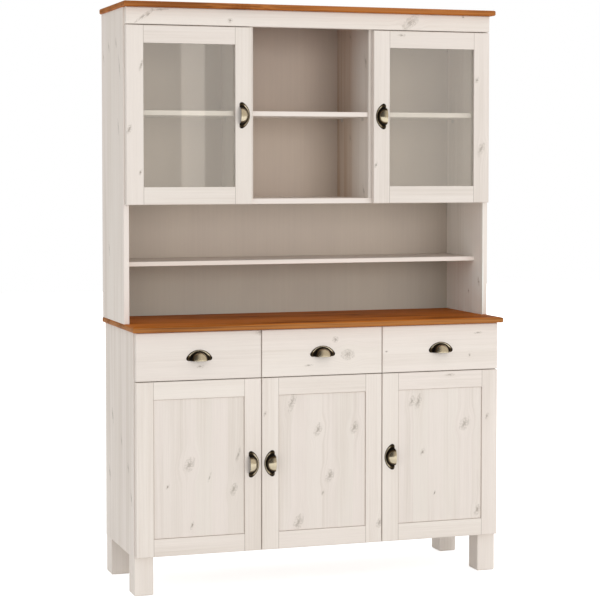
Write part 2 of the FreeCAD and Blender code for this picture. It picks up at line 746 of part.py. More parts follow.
def build_panel(name, x, face, z, width, height):
    """A thick panel with a tongue all round that floats in the grooves of its frame."""
    panel = new_body(name)
    place(panel, f"{x} + stile_width", face, f"{z} + rail_width")
    span = f"({width} - 2 * stile_width)"
    rise = f"({height} - 2 * rail_width)"
    block(panel, "Pad", "panel_reveal", "panel_recess", "panel_reveal", f"{span} - 2 * panel_reveal",
          "panel_thickness", f"{rise} - 2 * panel_reveal")
    soften(panel, "Fillet", "panel_round", on_front)
    tongue = "(groove_depth - 4 * groove_slack)"
    block(panel, "Pad", f"-{tongue}", f"{GROOVE_SETBACK} + groove_slack", f"-{tongue}",
          f"{span} + 2 * {tongue}", "groove_width - 2 * groove_slack", f"{rise} + 2 * {tongue}")
    keep(panel)


def build_glazing(name, x, face, z, width, height):
    """The pane, and the four beads that hold it in the rebate."""
    rebate_x = f"({x} + stile_width - glass_rebate)"
    rebate_z = f"({z} + rail_width - glass_rebate)"
    span = f"({width} - 2 * stile_width + 2 * glass_rebate)"
    rise = f"({height} - 2 * rail_width + 2 * glass_rebate)"
    keep(board(f"{name}_glass", f"{rebate_x} + glass_slack", f"{face} + glass_seat",
               f"{rebate_z} + glass_slack", f"{span} - 2 * glass_slack", "glass_thickness",
               f"{rise} - 2 * glass_slack"))
    bead_y = f"{face} + glass_seat + glass_thickness"
    bead_depth = "front_thickness - glass_seat - glass_thickness"
    beads = []
    for hand, offset in (("left", "0"), ("right", f"{span} - glass_rebate")):
        beads.append(board(f"{name}_bead_{hand}", f"{rebate_x} + {offset}", bead_y, rebate_z, "glass_rebate",
                           bead_depth, rise))
    for end, offset in (("bottom", "0"), ("top", f"{rise} - glass_rebate")):
        beads.append(board(f"{name}_bead_{end}", f"{rebate_x} + glass_rebate", bead_y,
                           f"{rebate_z} + {offset}", f"{span} - 2 * glass_rebate", bead_depth,
                           "glass_rebate"))
    return beads


def build_door(name, x, back, z, width, height, hinge_side, upright_face, glazed=False):
    """One door with its frame, filling, pull and two concealed hinges; returns the hinge arms."""
    face = f"({back} - front_thickness)"
    low = f"({z} + hinge_end_distance)"
    high = f"({z} + {height} - hinge_end_distance)"
    if hinge_side == "left":
        cup_x = f"({x} + cup_edge_distance)"
        pull_x = f"{x} + {width} - pull_edge_distance"
    else:
        cup_x = f"({x} + {width} - cup_edge_distance)"
        pull_x = f"{x} + pull_edge_distance"

    recess = (GROOVE_SETBACK, "groove_width", "groove_depth")
    if glazed:
        recess = ("glass_seat", "(front_thickness - glass_seat)", "glass_rebate")
    frame = build_door_frame(name, x, face, z, width, height, recess, (hinge_side, cup_x), (low, high))
    if glazed:
        frame += build_glazing(name, x, face, z, width, height)
    else:
        build_panel(f"{name}_panel", x, face, z, width, height)
    keep_group(f"{name}_frame", frame)
    hang_pull(f"{name}_pull", pull_x, face, f"{z} + {height} / 2 + pull_rise",
              1 if hinge_side == "left" else -1)

    cups = []
    arms = []
    for position, level in (("lower", low), ("upper", high)):
        cups.append(build_hinge_cup(f"{name}_hinge_cup_{position}", cup_x, back, level))
        arms.append(build_hinge_arm(f"{name}_hinge_arm_{position}", upright_face, cup_x, back, level,
                                    "" if hinge_side == "left" else "-"))
    keep_group(f"{name}_hinge_cups", cups)
    return arms


def build_doors():
    arms = []
    door_height = f"({DOOR_TOP} - {DOOR_BOTTOM})"
    for bay, (left, right, edge) in BASE_BAYS.items():
        hinge_side = "left" if bay == "left" else "right"
        arms += build_door(f"door_{bay}", edge, FRONT_BACK, DOOR_BOTTOM, FRONT_WIDTH, door_height, hinge_side,
                           left if hinge_side == "left" else right)
    glass_height = f"({GLASS_DOOR_TOP} - {NICHE_CEILING})"
    for hinge_side, x, upright_face in (("left", f"(-{GLASS_DOOR_OUTER})", f"(-{HUTCH_INNER})"),
                                        ("right", GLASS_DOOR_INNER, HUTCH_INNER)):
        arms += build_door(f"glass_door_{hinge_side}", x, HUTCH_DOOR_BACK, NICHE_CEILING, GLASS_DOOR_WIDTH,
                           glass_height, hinge_side, upright_face, glazed=True)
    keep_group("hinge_arms", arms)


# ---------------------------------------------------------------- build, check and write
cup_pull = build_cup_pull()
build_base()
build_hutch()
build_shelves()
build_runners()
for bay_name, bay_places in BASE_BAYS.items():
    build_drawer(bay_name, *bay_places)
build_doors()
doc.recompute()

for thing in doc.Objects:
    if "Invalid" in thing.State or "Error" in thing.State:
        raise RuntimeError(f"{thing.Label} did not build")
for node in nodes:
    if node.Shape.isNull() or not node.Shape.isValid():
        raise RuntimeError(f"{node.Label} has no valid shape")

os.makedirs("parts", exist_ok=True)
for node in nodes:
    node.Shape.exportStep(f"parts/{node.Label}.step")
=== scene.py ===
import json
import math
from typing import NamedTuple

import bmesh
import bpy
from mathutils import Matrix, Vector


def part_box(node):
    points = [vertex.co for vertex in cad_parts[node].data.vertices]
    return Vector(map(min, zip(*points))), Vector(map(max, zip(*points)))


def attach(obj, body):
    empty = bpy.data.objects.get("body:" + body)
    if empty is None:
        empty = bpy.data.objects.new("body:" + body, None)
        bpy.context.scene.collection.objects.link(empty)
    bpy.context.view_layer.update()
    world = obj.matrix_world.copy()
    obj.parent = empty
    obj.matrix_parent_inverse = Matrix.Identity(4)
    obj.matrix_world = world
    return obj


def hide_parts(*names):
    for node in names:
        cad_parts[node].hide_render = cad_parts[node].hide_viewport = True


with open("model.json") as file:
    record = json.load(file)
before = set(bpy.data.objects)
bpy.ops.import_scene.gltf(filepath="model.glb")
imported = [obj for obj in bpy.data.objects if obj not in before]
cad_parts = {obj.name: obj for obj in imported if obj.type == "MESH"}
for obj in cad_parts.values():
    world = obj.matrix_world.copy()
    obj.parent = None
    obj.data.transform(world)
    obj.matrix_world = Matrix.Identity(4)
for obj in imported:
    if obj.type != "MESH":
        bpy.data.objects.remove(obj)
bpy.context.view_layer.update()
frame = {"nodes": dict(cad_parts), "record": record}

scene = bpy.context.scene
scene.view_settings.view_transform = "Standard"
slots = {part["node"]: part["material_slot"] for part in frame["record"]["subparts"]}

# ---------------------------------------------------------------- places that the paint goes by, in metres
WORKTOP_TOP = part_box("worktop")[1][2]
NICHE_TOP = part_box("hutch_floor")[0][2]
NICHE_SHELF_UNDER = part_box("niche_shelf")[0][2]
NICHE_SHELF_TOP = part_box("niche_shelf")[1][2]
PARTITION_MIDDLE = sum(corner[0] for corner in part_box("hutch_partition_right")) / 2
SIDE_INNER_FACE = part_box("hutch_side_right")[0][0]
BACK_FRONT_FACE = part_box("hutch_back")[0][1]

# ---------------------------------------------------------------- shader helpers
WHITE = (1.0, 1.0, 1.0, 1.0)
# a Mix node's first value, second value and result, by the kind of data that it mixes
MIX_SOCKETS = {"FLOAT": (2, 3, 0), "VECTOR": (4, 5, 1), "RGBA": (6, 7, 2)}


def srgb(red, green, blue):
    """A 0-255 display colour as a linear shader colour."""
    out = []
    for value in (red, green, blue):
        value /= 255
        out.append(value / 12.92 if value <= 0.04045 else ((value + 0.055) / 1.055) ** 2.4)
    return (*out, 1.0)


def put(tree, value, socket):
    """Feed an input from another node's socket, or set it to a constant."""
    if isinstance(value, bpy.types.NodeSocket):
        tree.links.new(value, socket)
    else:
        socket.default_value = value


def add(tree, kind, *values, **settings):
    """A node with its settings made, and its inputs filled in order."""
    node = tree.nodes.new("ShaderNode" + kind)
    for key, value in settings.items():
        setattr(node, key, value)
    for socket, value in zip(node.inputs, values):
        put(tree, value, socket)
    return node


def calc(tree, operation, *values, clamp=False):
    return add(tree, "Math", *values, operation=operation, use_clamp=clamp).outputs[0]


def vec(tree, operation, *values):
    node = add(tree, "VectorMath", *values, operation=operation)
    return node.outputs["Value" if operation in ("LENGTH", "DOT_PRODUCT") else "Vector"]


def scaled(tree, vector, factor):
    node = add(tree, "VectorMath", vector, operation="SCALE")
    put(tree, factor, node.inputs["Scale"])
    return node.outputs["Vector"]


def split(tree, vector):
    """A vector's X, Y and Z."""
    return add(tree, "SeparateXYZ", vector).outputs


def object_place(tree):
    """The place on the object that is shaded, in metres."""
    return add(tree, "TexCoord").outputs["Object"]


def facing(tree, axis):
    """1 on faces that lie square to an axis, 0 on faces along it."""
    normal = add(tree, "TexCoord").outputs["Normal"]
    return calc(tree, "ABSOLUTE", split(tree, normal)[axis])


def noise(tree, place, scale, detail=2.0, rough=0.5):
    """Fractal noise; scale is in waves to the metre, for all axes or for each."""
    if isinstance(scale, tuple):
        place = vec(tree, "MULTIPLY", place, scale)
    else:
        place = scaled(tree, place, scale)
    node = add(tree, "TexNoise", place)
    for name, value in (("Scale", 1.0), ("Detail", detail), ("Roughness", rough)):
        node.inputs[name].default_value = value
    return node.outputs[0]


def ramp(tree, value, start, end, to_start=0.0, to_end=1.0):
    """A smooth step of value from start..end to to_start..to_end, level outside them."""
    node = add(tree, "MapRange", value, start, end, to_start, to_end, interpolation_type="SMOOTHSTEP")
    return node.outputs[0]


def mix(tree, factor, first, second, data_type="RGBA", blend_type="MIX"):
    node = add(tree, "Mix", factor, data_type=data_type, blend_type=blend_type)
    first_socket, second_socket, result = MIX_SOCKETS[data_type]
    put(tree, first, node.inputs[first_socket])
    put(tree, second, node.inputs[second_socket])
    return node.outputs[result]


def tinted(tree, colour, tint):
    """The colour times another colour."""
    return mix(tree, 1.0, colour, tint, blend_type="MULTIPLY")


def dimmed(tree, colour, tone):
    """The colour times a grey."""
    return tinted(tree, colour, add(tree, "CombineColor", tone, tone, tone).outputs[0])


def bumped(tree, height, strength, distance):
    """The normal that a fine relief gives."""
    bump = add(tree, "Bump")
    for name, value in (("Strength", strength), ("Distance", distance), ("Height", height)):
        put(tree, value, bump.inputs[name])
    return bump.outputs["Normal"]


def group(name, inputs, outputs):
    """A shared node group, as its tree, the values given to it and the sockets of its results."""
    tree = bpy.data.node_groups.new(name, "ShaderNodeTree")
    for way, sockets in (("INPUT", inputs), ("OUTPUT", outputs)):
        for socket_name, kind in sockets:
            tree.interface.new_socket(socket_name, in_out=way, socket_type="NodeSocket" + kind)
    given = tree.nodes.new("NodeGroupInput").outputs
    return tree, given[:len(inputs)], tree.nodes.new("NodeGroupOutput").inputs


def use(tree, shared, *values):
    """The results of a shared node group for these values."""
    return add(tree, "Group", *values, node_tree=shared).outputs


def new_material(name):
    material = bpy.data.materials.new(name)
    material.use_nodes = True
    tree = material.node_tree
    return material, tree, tree.nodes["Principled BSDF"]


def set_shader(tree, shader, **values):
    """Fill a shader's inputs by name, with _ for a space."""
    for key, value in values.items():
        put(tree, value, shader.inputs[key.replace("_", " ")])


def show(tree, shader):
    """Make a shader node what the material shows."""
    tree.links.new(shader.outputs[0], tree.nodes["Material Output"].inputs["Surface"])


def dress(node, material):
    """Give a CAD node its finished material."""
    thing = frame["nodes"][node]
    if not thing.material_slots:
        thing.data.materials.append(material)
    for slot in thing.material_slots:
        slot.link = "OBJECT"
        slot.material = material


# ---------------------------------------------------------------- the figure of pine
RINGS = 95.0        # ring lines to the metre
RING_BEND = 11.0    # how far noise moves them, in rings
STAVE_SHIFT = 7.0   # how far apart the staves take their figure, in metres


def build_grain():
    """Streaks, ring lines and fibres of a sawn board.  Place is along, across and through the grain."""
    tree, given, result = group(
        "pine grain",
        (("Place", "Vector"), ("Seed", "Float"), ("Stave", "Float")),
        (("Streak", "Float"), ("Line", "Float"), ("Fibre", "Float"), ("Stave tone", "Float")))
    place, seed, stave = given
    along, across, through = split(tree, place)
    index = calc(tree, "FLOOR", calc(tree, "DIVIDE", across, stave))
    draw = add(tree, "TexWhiteNoise", noise_dimensions="1D")
    put(tree, calc(tree, "ADD", index, seed), draw.inputs["W"])
    stave_tone = draw.outputs["Value"]
    shift = calc(tree, "MULTIPLY", stave_tone, STAVE_SHIFT)
    start = calc(tree, "ADD", calc(tree, "ADD", along, shift), seed)
    moved = add(tree, "CombineXYZ", start, calc(tree, "ADD", across, shift), through).outputs[0]

    patch = ramp(tree, noise(tree, moved, (1.1, 9.0, 9.0), 1.0), 0.38, 0.62, 0.3, 1.0)
    broad = noise(tree, moved, (0.9, 21.0, 21.0))
    narrow = noise(tree, moved, (1.3, 120.0, 120.0), 4.0, 0.7)
    streak = calc(tree, "ADD", calc(tree, "MULTIPLY", broad, 0.5), calc(tree, "MULTIPLY", narrow, 0.5))
    streak = calc(tree, "MULTIPLY", ramp(tree, streak, 0.38, 0.64), patch)

    bend = calc(tree, "MULTIPLY", noise(tree, moved, (0.7, 6.0, 6.0)), RING_BEND)
    ring = calc(tree, "FRACT", calc(tree, "ADD", calc(tree, "MULTIPLY", across, RINGS), bend))
    line = calc(tree, "MULTIPLY", ramp(tree, ring, 0.35, 0.93), ramp(tree, ring, 1.0, 0.93))
    line = calc(tree, "MULTIPLY", line, patch)

    fibre = noise(tree, moved, (14.0, 650.0, 650.0), 2.0, 0.6)
    for socket, value in zip(result, (streak, line, fibre, stave_tone)):
        tree.links.new(value, socket)
    return tree


def build_knot():
    """One knot: it pushes the grain aside, and gives a mottled patch with a broken rim, and a core.
    Size is about 1 / radius on each axis, and 0 through the board."""
    tree, given, result = group(
        "pine knot",
        (("Place", "Vector"), ("Bent", "Vector"), ("Centre", "Vector"), ("Size", "Vector"),
         ("Along", "Vector"), ("Lean", "Vector")),
        (("Bent", "Vector"), ("Halo", "Float"), ("Core", "Float")))
    place, bent, centre, size, along, lean = given
    offset = vec(tree, "SUBTRACT", place, centre)
    offset = vec(tree, "ADD", offset, scaled(tree, lean, vec(tree, "DOT_PRODUCT", offset, along)))
    wobble = calc(tree, "SUBTRACT", noise(tree, place, 110.0, 3.0, 0.6), 0.5)
    reach = vec(tree, "LENGTH", vec(tree, "MULTIPLY", offset, size))
    reach = calc(tree, "ADD", reach, calc(tree, "MULTIPLY", wobble, 1.1))

    in_plane = vec(tree, "MULTIPLY", offset, vec(tree, "SIGN", size))
    push = scaled(tree, in_plane, ramp(tree, reach, 0.3, 3.6, 0.8, 0.0))

    from_rim = calc(tree, "ABSOLUTE", calc(tree, "SUBTRACT", reach, 0.95))
    rim = calc(tree, "MULTIPLY", ramp(tree, from_rim, 0.3, 0.0), 0.7)
    patch = calc(tree, "MULTIPLY", ramp(tree, reach, 1.4, 0.4), 0.8)
    mottle = ramp(tree, noise(tree, offset, 210.0), 0.36, 0.6, 0.15, 1.0)
    halo = calc(tree, "MULTIPLY", calc(tree, "MAXIMUM", patch, rim), mottle)

    core = ramp(tree, reach, 0.55, 0.2)
    for socket, value in zip(result, (vec(tree, "SUBTRACT", bent, push), halo, core)):
        tree.links.new(value, socket)
    return tree


GRAIN = build_grain()
KNOT = build_knot()


# ---------------------------------------------------------------- pine boards
class Finish(NamedTuple):
    staves: tuple           # the two colours that the staves vary between
    streak: tuple
    line: tuple             # of the ring lines
    halo: tuple             # of a knot around its core
    core: tuple
    line_strength: float
    roughness: float
    specular: float
    shortened: float = 1.0  # how much shorter the figure is along the grain


FINISHES = {
    "whitewashed_pine": Finish(
        staves=(srgb(239, 229, 221), srgb(234, 226, 217)), streak=srgb(226, 216, 206),
        line=srgb(216, 206, 195), halo=srgb(186, 177, 166), core=srgb(128, 115, 101),
        line_strength=0.14, roughness=0.62, specular=0.15),
    "honey_pine": Finish(
        staves=(srgb(201, 117, 35), srgb(183, 101, 27)), streak=srgb(138, 72, 17),
        line=srgb(100, 48, 13), halo=srgb(120, 62, 24), core=srgb(78, 38, 14),
        line_strength=0.55, roughness=0.55, specular=0.04, shortened=1.8),
    "plain_pine": Finish(
        staves=(srgb(228, 200, 155), srgb(222, 192, 146)), streak=srgb(206, 170, 118),
        line=srgb(190, 148, 95), halo=srgb(170, 120, 72), core=srgb(105, 66, 36),
        line_strength=0.6, roughness=0.6, specular=0.3),
}
# painted sheen: the edges of a stained board made paler and greyer than its face, for the light that they
# catch
EDGE_PAINTED_SHEEN = {"worktop": (0.86, 1.22, 4.0, 1), "hutch_top": (0.97, 1.2, 3.5, 1)}
JOINT_COLOUR = srgb(150, 138, 126)


class Board(NamedTuple):
    grain: str              # the axis that the grain runs along
    face: str               # the plane of the broad face
    stave: float            # the width of the staves
    # on the partitions a shade under 1 is painted shade, and on the right side a shade over 1 is painted
    # light
    shade: float = 1.0      # how bright it is beside the others
    contrast: float = 1.0   # of its streaks


# painted shade on the partitions' inner faces (0.9) and painted light on the right side (1.04), for its face
# in the niche; the other values only set how bright a board is
SHADES = {"hutch_side_right": 1.04, "hutch_partition_left": 0.9, "hutch_partition_right": 0.9,
          "hutch_top": 0.9, "drawer_left_front": 0.97}


def board_of(node):
    """How a node's boards are sawn and toned."""
    shade = SHADES.get(node, 1.0)
    if "_side_" in node or "_partition_" in node:
        return Board("Z", "YZ", 0.075, shade, 0.4 if node == "hutch_partition_left" else 1.25)
    if node in ("base_rails", "frieze") or node.endswith("_front"):
        return Board("X", "XZ", 0.4, shade)
    if node.startswith("leg_"):
        return Board("Z", "XZ", 0.4)
    if node.endswith("_frame"):
        return Board("Z", "XZ", 0.4, 0.965 if node.startswith("glass") else 1.0)
    if node.endswith("_panel"):
        return Board("Z", "XZ", 0.055, 0.965)
    if node.endswith("_bottom"):
        return Board("X", "XY", 0.2)
    if node.startswith("drawer_"):
        return Board("Z", "YZ", 0.2)
    return Board("X", "XY", 0.048 if slots[node] == "honey_pine" else 0.08, shade)


# the larger knots: two coordinates in the board's face, radius along and across the grain, and how far
# the knot leans from the grain, where that isn't the usual lean
KNOTS = {
    "base_side_left": (
        (-0.009, 0.492, 0.016, 0.004), (0.123, 0.56, 0.02, 0.007), (0.173, 0.355, 0.02, 0.008),
        (-0.107, 0.414, 0.014, 0.006), (-0.15, 0.321, 0.02, 0.006)),
    "hutch_side_left": (
        (0.128, 1.13, 0.02, 0.004), (0.202, 1.781, 0.02, 0.004), (-0.019, 1.541, 0.02, 0.005),
        (0.01, 1.82, 0.014, 0.006), (-0.038, 1.739, 0.03, 0.005), (0.12, 1.814, 0.014, 0.006)),
    "hutch_side_right": ((-0.061, 1.003, 0.012, 0.006), (0.027, 0.964, 0.007, 0.004)),
    "hutch_partition_right": (
        (-0.062, 1.771, 0.02, 0.008), (0.091, 1.863, 0.012, 0.006), (0.091, 1.507, 0.012, 0.006),
        (-0.046, 1.324, 0.02, 0.006)),
    "drawer_left_front": ((-0.425, 0.753, 0.01, 0.004), (-0.218, 0.861, 0.012, 0.007)),
    "drawer_middle_front": (
        (0.046, 0.828, 0.009, 0.008), (0.09, 0.776, 0.018, 0.014), (-0.049, 0.744, 0.012, 0.003)),
    "drawer_right_front": (
        (0.568, 0.836, 0.012, 0.003), (0.537, 0.76, 0.004, 0.005), (0.23, 0.781, 0.005, 0.003)),
    "door_left_panel": (
        (-0.463, 0.429, 0.019, 0.013), (-0.536, 0.36, 0.006, 0.004), (-0.394, 0.383, 0.012, 0.0025),
        (-0.31, 0.341, 0.017, 0.009), (-0.453, 0.228, 0.01, 0.004), (-0.295, 0.454, 0.02, 0.004)),
    "door_middle_panel": (
        (-0.107, 0.623, 0.026, 0.009), (-0.015, 0.525, 0.017, 0.01), (0.115, 0.527, 0.016, 0.01),
        (0.027, 0.368, 0.017, 0.011), (0.002, 0.31, 0.007, 0.003), (-0.084, 0.216, 0.02, 0.012)),
    "door_middle_frame": ((-0.202, 0.587, 0.007, 0.004), (0.206, 0.198, 0.013, 0.009)),
    "door_right_panel": (
        (0.324, 0.608, 0.014, 0.008), (0.348, 0.607, 0.02, 0.008), (0.519, 0.522, 0.017, 0.013),
        (0.364, 0.432, 0.009, 0.006), (0.409, 0.288, 0.007, 0.003), (0.569, 0.22, 0.014, 0.008)),
    "door_right_frame": (
        (0.449, 0.642, 0.005, 0.004), (0.603, 0.546, 0.009, 0.005), (0.462, 0.694, 0.004, 0.014)),
    "glass_door_left_frame": (
        (-0.597, 1.742, 0.016, 0.004), (-0.601, 1.391, 0.008, 0.004), (-0.638, 1.532, 0.012, 0.006)),
    "glass_door_right_frame": (
        (0.318, 1.859, 0.004, 0.012), (0.602, 1.71, 0.008, 0.006), (0.618, 1.47, 0.018, 0.009),
        (0.226, 1.414, 0.008, 0.004)),
    "frieze": (
        (-0.59, 1.902, 0.022, 0.005, -0.75), (-0.572, 1.909, 0.012, 0.004, -0.9),
        (-0.53, 1.925, 0.024, 0.003, -0.1), (-0.294, 1.895, 0.007, 0.006),
        (0.351, 1.903, 0.022, 0.015, -0.5), (0.548, 1.927, 0.004, 0.004)),
    "hutch_top": ((-0.262, -0.118, 0.034, 0.02, 0.0), (0.44, -0.118, 0.012, 0.01, 0.0)),
    "worktop": (
        (-0.28, -0.12, 0.022, 0.005, 0.0), (0.2, -0.16, 0.05, 0.003, 0.0), (0.42, -0.06, 0.04, 0.004, 0.0)),
}
LEANS = {"X": -0.05, "Z": -0.3}     # the usual lean of a knot, by the axis of the grain
KNOT_EDGE = 0.82                    # where a knot's given radius lies, in the reach of its pattern
SMALL_KNOT = 0.0075                 # knots with radii that sum to this or less have the strongest cores

# the axes along, across and through the grain, by grain and face
GRAIN_AXES = {("Z", "YZ"): "ZYX", ("Z", "XZ"): "ZXY", ("X", "XZ"): "XZY", ("X", "XY"): "XZY"}
STILE = 0.058                       # the width of the doors' stiles
STILE_START = 3.7                   # a door's stiles take their figure this far to either side
RAIL_START = 5.3                    # and its rails this far


def add_knots(tree, place, knots, board):
    """The place that the grain is taken from, bent around the knots, and the knots' halos and cores."""
    bent = place
    halos = []
    cores = []
    along = [1.0 if axis == board.grain else 0.0 for axis in "XYZ"]
    across_axis = next(axis for axis in board.face if axis != board.grain)
    for first, second, long, wide, *own_lean in knots:
        in_face = dict(zip(board.face, (first, second)))
        centre = [in_face.get(axis, 0.0) for axis in "XYZ"]
        radii = {board.grain: long, across_axis: wide}
        sizes = [KNOT_EDGE / radii[axis] if axis in radii else 0.0 for axis in "XYZ"]
        lean = own_lean[0] if own_lean else LEANS[board.grain]
        leans = [lean if axis == across_axis else 0.0 for axis in "XYZ"]
        bent, halo, core = use(tree, KNOT, place, bent, centre, sizes, along, leans)
        smallness = min(1.0, SMALL_KNOT / (long + wide))
        halos.append(calc(tree, "MULTIPLY", halo, 0.85 - 0.25 * smallness))
        cores.append(calc(tree, "MULTIPLY", core, 0.1 + 0.8 * smallness))
    return bent, halos, cores


def grain_place(tree, axes, grain, face, finish, start=0.0):
    """A place as metres along, across and through the grain, with the figure moved on by start."""
    along, across, through = (axes[axis] for axis in GRAIN_AXES[grain, face])
    along = calc(tree, "ADD", calc(tree, "MULTIPLY", along, finish.shortened), start)
    return add(tree, "CombineXYZ", along, across, through).outputs[0]


def framed_place(tree, place, axes, box, finish):
    """The grain's place in a door whose rails lie between its stiles, and the lines where they meet."""
    (left, _, bottom), (right, _, top) = box
    stile_edge = (right - left) / 2 - STILE
    from_middle = calc(tree, "SUBTRACT", split(tree, place)["X"], (left + right) / 2)
    distance = calc(tree, "ABSOLUTE", from_middle)
    side = calc(tree, "SIGN", from_middle)
    end = calc(tree, "SIGN", calc(tree, "SUBTRACT", axes["Z"], (bottom + top) / 2))
    stile = grain_place(tree, axes, "Z", "XZ", finish, calc(tree, "MULTIPLY", side, STILE_START))
    rail = grain_place(tree, axes, "X", "XZ", finish, calc(tree, "MULTIPLY", end, RAIL_START))
    is_stile = calc(tree, "GREATER_THAN", distance, stile_edge)
    gap = calc(tree, "ABSOLUTE", calc(tree, "SUBTRACT", distance, stile_edge))
    joint = calc(tree, "MULTIPLY", ramp(tree, gap, 0.0011, 0.0002), ramp(tree, facing(tree, "Y"), 0.4, 0.9))
    return mix(tree, is_stile, rail, stile, "VECTOR"), joint


def wood_colour(tree, finish, board, streak, line, fibre, stave_tone):
    """The colour of a board between its knots."""
    colour = mix(tree, stave_tone, *finish.staves)
    colour = mix(tree, calc(tree, "MULTIPLY", streak, board.contrast), colour, finish.streak)
    strength = calc(tree, "MULTIPLY", streak, finish.line_strength)
    strength = calc(tree, "ADD", finish.line_strength * 0.35, strength)
    colour = mix(tree, calc(tree, "MULTIPLY", line, strength), colour, finish.line)
    tone = ramp(tree, stave_tone, 0.0, 1.0, 0.98 * board.shade, 1.01 * board.shade)
    colour = dimmed(tree, colour, tone)
    return dimmed(tree, colour, ramp(tree, fibre, 0.3, 0.75, 1.012, 0.975))


def barer_and_shaded_behind(tree, colour, streak):
    """Paint that thins out from the middle of the board's depth backwards, most along its streaks; the bare
    brown also darkens the back of the compartment as painted shade.
    """
    behind = ramp(tree, split(tree, object_place(tree))["Y"], 0.0, 0.15)
    bare_and_shade = calc(tree, "MULTIPLY", behind, ramp(tree, streak, 0.0, 0.8, 0.45, 0.85))
    # the brown of bare pine, which is also painted shade
    return mix(tree, bare_and_shade, colour, srgb(190, 165, 142))


def shaded_top_lit_edge(tree, colour, _):
    """A shelf with painted shade on its broad faces and painted light on its front edge."""
    return dimmed(tree, colour, ramp(tree, facing(tree, "Y"), 0.4, 0.9, 0.82, 1.12))


def painted_light_in_niche(tree, colour, _):
    """Painted light and a cooling tint on the inner face in the niche, against the warm light that the
    worktop throws there, most below.
    """
    x, _, level = split(tree, object_place(tree))
    inner = ramp(tree, x, SIDE_INNER_FACE + 0.006, SIDE_INNER_FACE + 0.003)
    inner = calc(tree, "MULTIPLY", inner, ramp(tree, level, NICHE_TOP + 0.001, NICHE_TOP - 0.001))
    tint = mix(tree, ramp(tree, level, 1.12, 1.0), (1.06, 1.1, 1.12, 1), (1.1, 1.23, 1.29, 1))
    return mix(tree, inner, colour, tinted(tree, colour, tint))


# painted shade and painted light on single boards, beside a real thinning of paint at the partition's back
TOUCHES = {"hutch_partition_right": barer_and_shaded_behind, "niche_shelf": shaded_top_lit_edge,
           "hutch_side_right": painted_light_in_niche}


def pine(node, seed):
    """The material of a pine node."""
    finish = FINISHES[slots[node]]
    board = board_of(node)
    material, tree, shader = new_material(node)
    place = object_place(tree)
    bent, halos, cores = add_knots(tree, place, KNOTS.get(node, ()), board)
    axes = split(tree, bent)
    joint = None
    if node.endswith("_frame"):
        figure_place, joint = framed_place(tree, place, axes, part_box(node), finish)
    else:
        figure_place = grain_place(tree, axes, board.grain, board.face, finish)
    streak, line, fibre, stave_tone = use(tree, GRAIN, figure_place, seed, board.stave)

    colour = wood_colour(tree, finish, board, streak, line, fibre, stave_tone)
    if node in TOUCHES:
        colour = TOUCHES[node](tree, colour, streak)
    # painted sheen on the board's edges
    if node in EDGE_PAINTED_SHEEN:
        edge = ramp(tree, facing(tree, "Z"), 0.9, 0.4)
        colour = tinted(tree, colour, mix(tree, edge, WHITE, EDGE_PAINTED_SHEEN[node]))
    for halo in halos:
        colour = mix(tree, halo, colour, finish.halo)
    for core in cores:
        colour = mix(tree, core, colour, finish.core)
    if joint:
        colour = mix(tree, calc(tree, "MULTIPLY", joint, 0.8), colour, JOINT_COLOUR)

    roughness = ramp(tree, streak, 0.0, 1.0, finish.roughness - 0.05, finish.roughness + 0.06)
    height = calc(tree, "ADD", calc(tree, "MULTIPLY", fibre, 0.5), calc(tree, "MULTIPLY", line, 0.5))
    set_shader(tree, shader, Base_Color=colour, Roughness=roughness, Specular_IOR_Level=finish.specular,
               Normal=bumped(tree, height, 0.12, 0.0006))
    return material


# each node has a seed of its own, so that no two share a figure
FIRST_SEED = 0.21
SEED_STEP = 1.37
for number, node in enumerate(sorted(slots)):
    if slots[node] in FINISHES:
        dress(node, pine(node, SEED_STEP * number + FIRST_SEED))


# ---------------------------------------------------------------- back board, glass and steel
def back_painted_light_and_shade(tree, place):
    """How the front of the hutch's back is tinted, with painted shade towards the niche's ends and the open
    compartment's sides and top, painted light in their middles, and cooler tints in the niche against the
    worktop's warm light; white elsewhere.
    """
    x, depth, level = split(tree, place)
    side = calc(tree, "ABSOLUTE", x)
    over_niche = ramp(tree, level, NICHE_TOP - 0.013, NICHE_TOP + 0.017)
    under_shelf = ramp(tree, level, NICHE_SHELF_TOP + 0.01, NICHE_SHELF_UNDER - 0.015)
    # painted light and cooler tints in the niche, against the worktop's warm light, and a little darker above
    # it
    niche = mix(tree, under_shelf, (1.04, 1.06, 1.07, 1), (0.95, 1.05, 1.06, 1))
    tint = mix(tree, over_niche, niche, (0.97, 0.965, 0.965, 1))

    # painted shade towards the ends and the top, painted light in the middles
    niche_shade = ramp(tree, side, 0.3, 0.64, 1.03, 0.88)
    open_shade = ramp(tree, side, 0.06, 0.21, 1.08, 0.94)
    open_shade = calc(tree, "MULTIPLY", open_shade, ramp(tree, level, 1.76, 1.93, 1.0, 0.88))
    glazed = ramp(tree, side, PARTITION_MIDDLE - 0.001, PARTITION_MIDDLE + 0.001)
    upper_shade = mix(tree, glazed, open_shade, 1.0, "FLOAT")
    tint = dimmed(tree, tint, mix(tree, over_niche, niche_shade, upper_shade, "FLOAT"))

    behind = ramp(tree, depth, BACK_FRONT_FACE + 0.00125, BACK_FRONT_FACE + 0.00175)
    below = ramp(tree, level, WORKTOP_TOP, WORKTOP_TOP - 0.001)
    return mix(tree, calc(tree, "MAXIMUM", behind, below), tint, WHITE)


